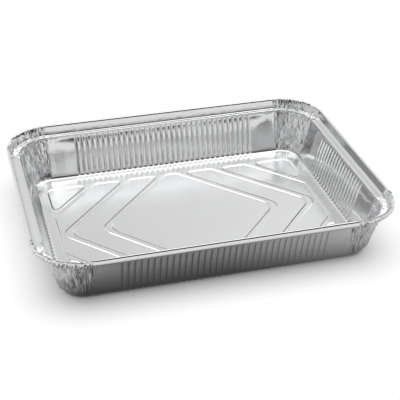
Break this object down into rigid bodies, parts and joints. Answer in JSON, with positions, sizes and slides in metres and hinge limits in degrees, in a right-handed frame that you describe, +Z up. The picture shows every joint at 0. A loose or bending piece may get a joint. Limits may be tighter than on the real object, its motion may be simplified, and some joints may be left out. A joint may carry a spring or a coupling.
{
  "type": "aluminium foil tray",
  "caption": "Shallow rectangular foil tray with a curled rim, gathered corners, grooved sloping walls and a base pressed with chevrons.",
  "frame": {"origin": "middle of the underside, on the surface the tray stands on", "axes": "+X along the long side, +Y along the short side, +Z up out of the open top"},
  "size_m": [0.325, 0.257, 0.052],
  "materials": {
    "foil": "bright rolled foil"
  },
  "bodies": {
    "root": {"foil_tray": "foil"}
  },
  "joints": []
}
